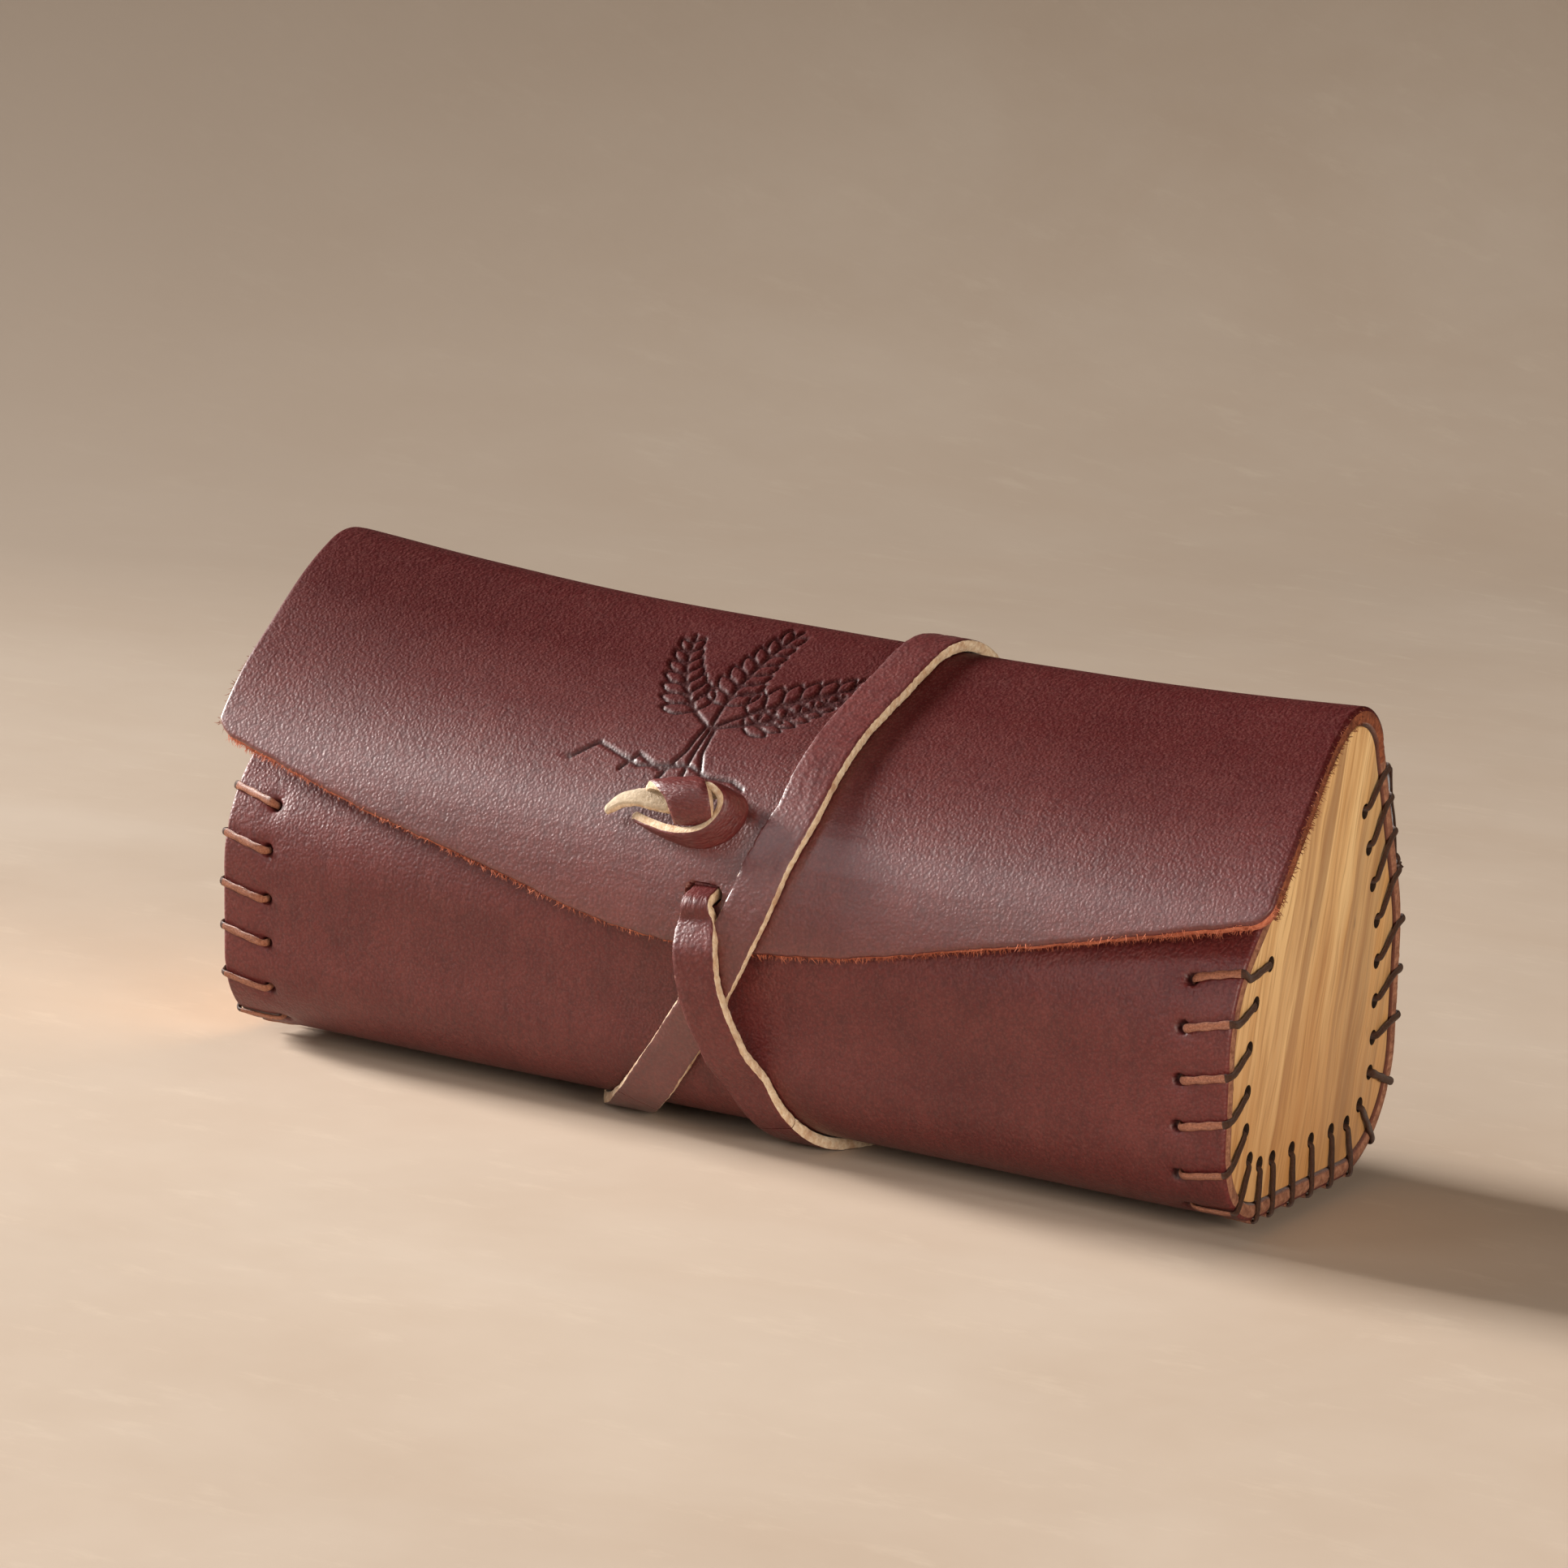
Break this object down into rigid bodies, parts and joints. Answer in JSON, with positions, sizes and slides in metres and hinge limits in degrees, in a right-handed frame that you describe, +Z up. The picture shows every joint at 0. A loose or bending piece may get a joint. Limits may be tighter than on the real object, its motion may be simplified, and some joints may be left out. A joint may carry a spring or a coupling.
{
  "type": "brush roll case",
  "caption": "Hard-sided roll case for brushes: leather body laced to two wooden end plates, with a hinged flap held shut by a wrapped leather thong.",
  "frame": {"origin": "centre of the box round the part, at the underside of the thong where the case rests", "axes": "+X along the case to the right end as seen from the front, +Y to the back, +Z up"},
  "size_m": [0.213, 0.0885, 0.093],
  "materials": {
    "case_leather": "satin",
    "thong_leather": "satin",
    "olive_wood": "oiled",
    "waxed_thread": "waxed"
  },
  "bodies": {
    "case": {"case_body": "case_leather", "end_plate_left": "olive_wood", "end_plate_right": "olive_wood", "lacing_front_left": "waxed_thread", "lacing_base_left": "waxed_thread", "lacing_back_left": "waxed_thread", "lacing_return_left": "waxed_thread", "lacing_knot_left": "waxed_thread", "lacing_front_right": "waxed_thread", "lacing_base_right": "waxed_thread", "lacing_back_right": "waxed_thread", "lacing_return_right": "waxed_thread", "lacing_knot_right": "waxed_thread", "thong_base_inner": "thong_leather", "thong_back": "thong_leather", "thong_base_outer": "thong_leather", "thong_tail": "thong_leather"},
    "flap": {"flap": "case_leather", "thong_front": "thong_leather", "thong_over": "thong_leather", "thong_inside": "thong_leather", "thong_neck": "thong_leather", "thong_knot": "thong_leather"}
  },
  "joints": [
    {"name": "flap_hinge", "type": "hinge", "parent": "case", "child": "flap", "pos_m": [0, 0.02371, 0.08618], "axis": [-1, 0, 0], "range_deg": [0, 140]}
  ]
}
